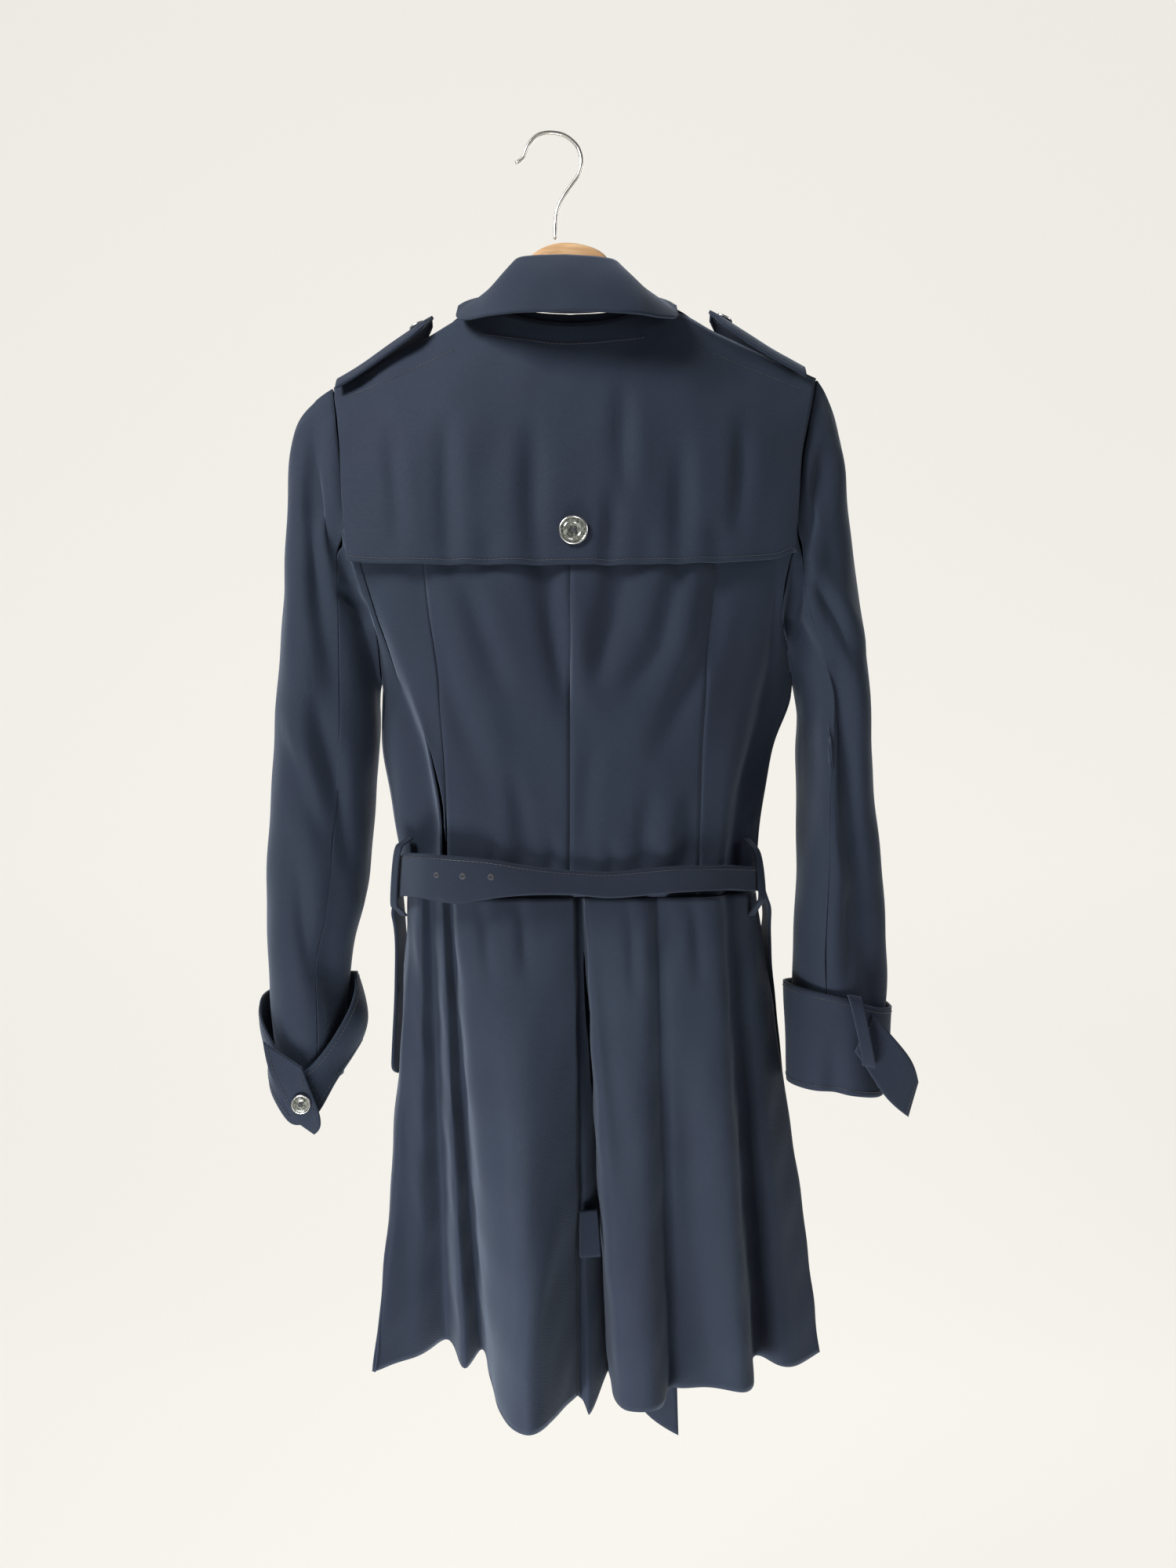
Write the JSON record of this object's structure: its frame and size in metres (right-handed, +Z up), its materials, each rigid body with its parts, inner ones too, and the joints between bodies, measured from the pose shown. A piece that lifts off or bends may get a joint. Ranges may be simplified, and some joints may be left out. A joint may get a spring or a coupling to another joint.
{
  "type": "trench coat on a hanger",
  "caption": "Short belted double-breasted trench coat with storm cape, epaulettes and turned-back cuffs, hanging by its shoulders on a wooden hanger with a steel hook.",
  "frame": {"origin": "underside of the hook's top, where a rail bears", "axes": "+Z up along the coat, +Y out of the coat's front, +X to the wearer's right"},
  "size_m": [0.5173, 0.232, 1.0735],
  "materials": {
    "navy_gabardine": "matte fine twill",
    "grey_horn": "mottled, polished",
    "brushed_steel": "satin",
    "beech": "clear satin lacquer"
  },
  "bodies": {
    "root": {"back_centre_left": "navy_gabardine", "back_centre_right": "navy_gabardine", "back_side_left": "navy_gabardine", "back_side_right": "navy_gabardine", "belt": "navy_gabardine", "belt_buckle": "brushed_steel", "belt_loop_left": "navy_gabardine", "belt_loop_right": "navy_gabardine", "button_cape": "grey_horn", "button_cuff_left": "grey_horn", "button_cuff_right": "grey_horn", "button_epaulette_left": "grey_horn", "button_epaulette_right": "grey_horn", "button_front_left_1": "grey_horn", "button_front_left_2": "grey_horn", "button_front_left_3": "grey_horn", "button_front_right_1": "grey_horn", "button_front_right_2": "grey_horn", "button_front_right_3": "grey_horn", "collar_fall": "navy_gabardine", "collar_stand": "navy_gabardine", "cuff_carrier_right": "navy_gabardine", "cuff_left": "navy_gabardine", "cuff_right": "navy_gabardine", "cuff_strap_left": "navy_gabardine", "cuff_strap_right": "navy_gabardine", "epaulette_left": "navy_gabardine", "epaulette_right": "navy_gabardine", "front_left": "navy_gabardine", "front_right": "navy_gabardine", "hanger_hook": "brushed_steel", "hanger_wood": "beech", "lapel_left": "navy_gabardine", "lapel_right": "navy_gabardine", "pleat_tab": "navy_gabardine", "pleat_underlay": "navy_gabardine", "skirt_back_left": "navy_gabardine", "skirt_back_right": "navy_gabardine", "skirt_front_left": "navy_gabardine", "skirt_front_right": "navy_gabardine", "sleeve_left_under": "navy_gabardine", "sleeve_left_upper": "navy_gabardine", "sleeve_right_under": "navy_gabardine", "sleeve_right_upper": "navy_gabardine", "storm_cape": "navy_gabardine"}
  },
  "joints": []
}
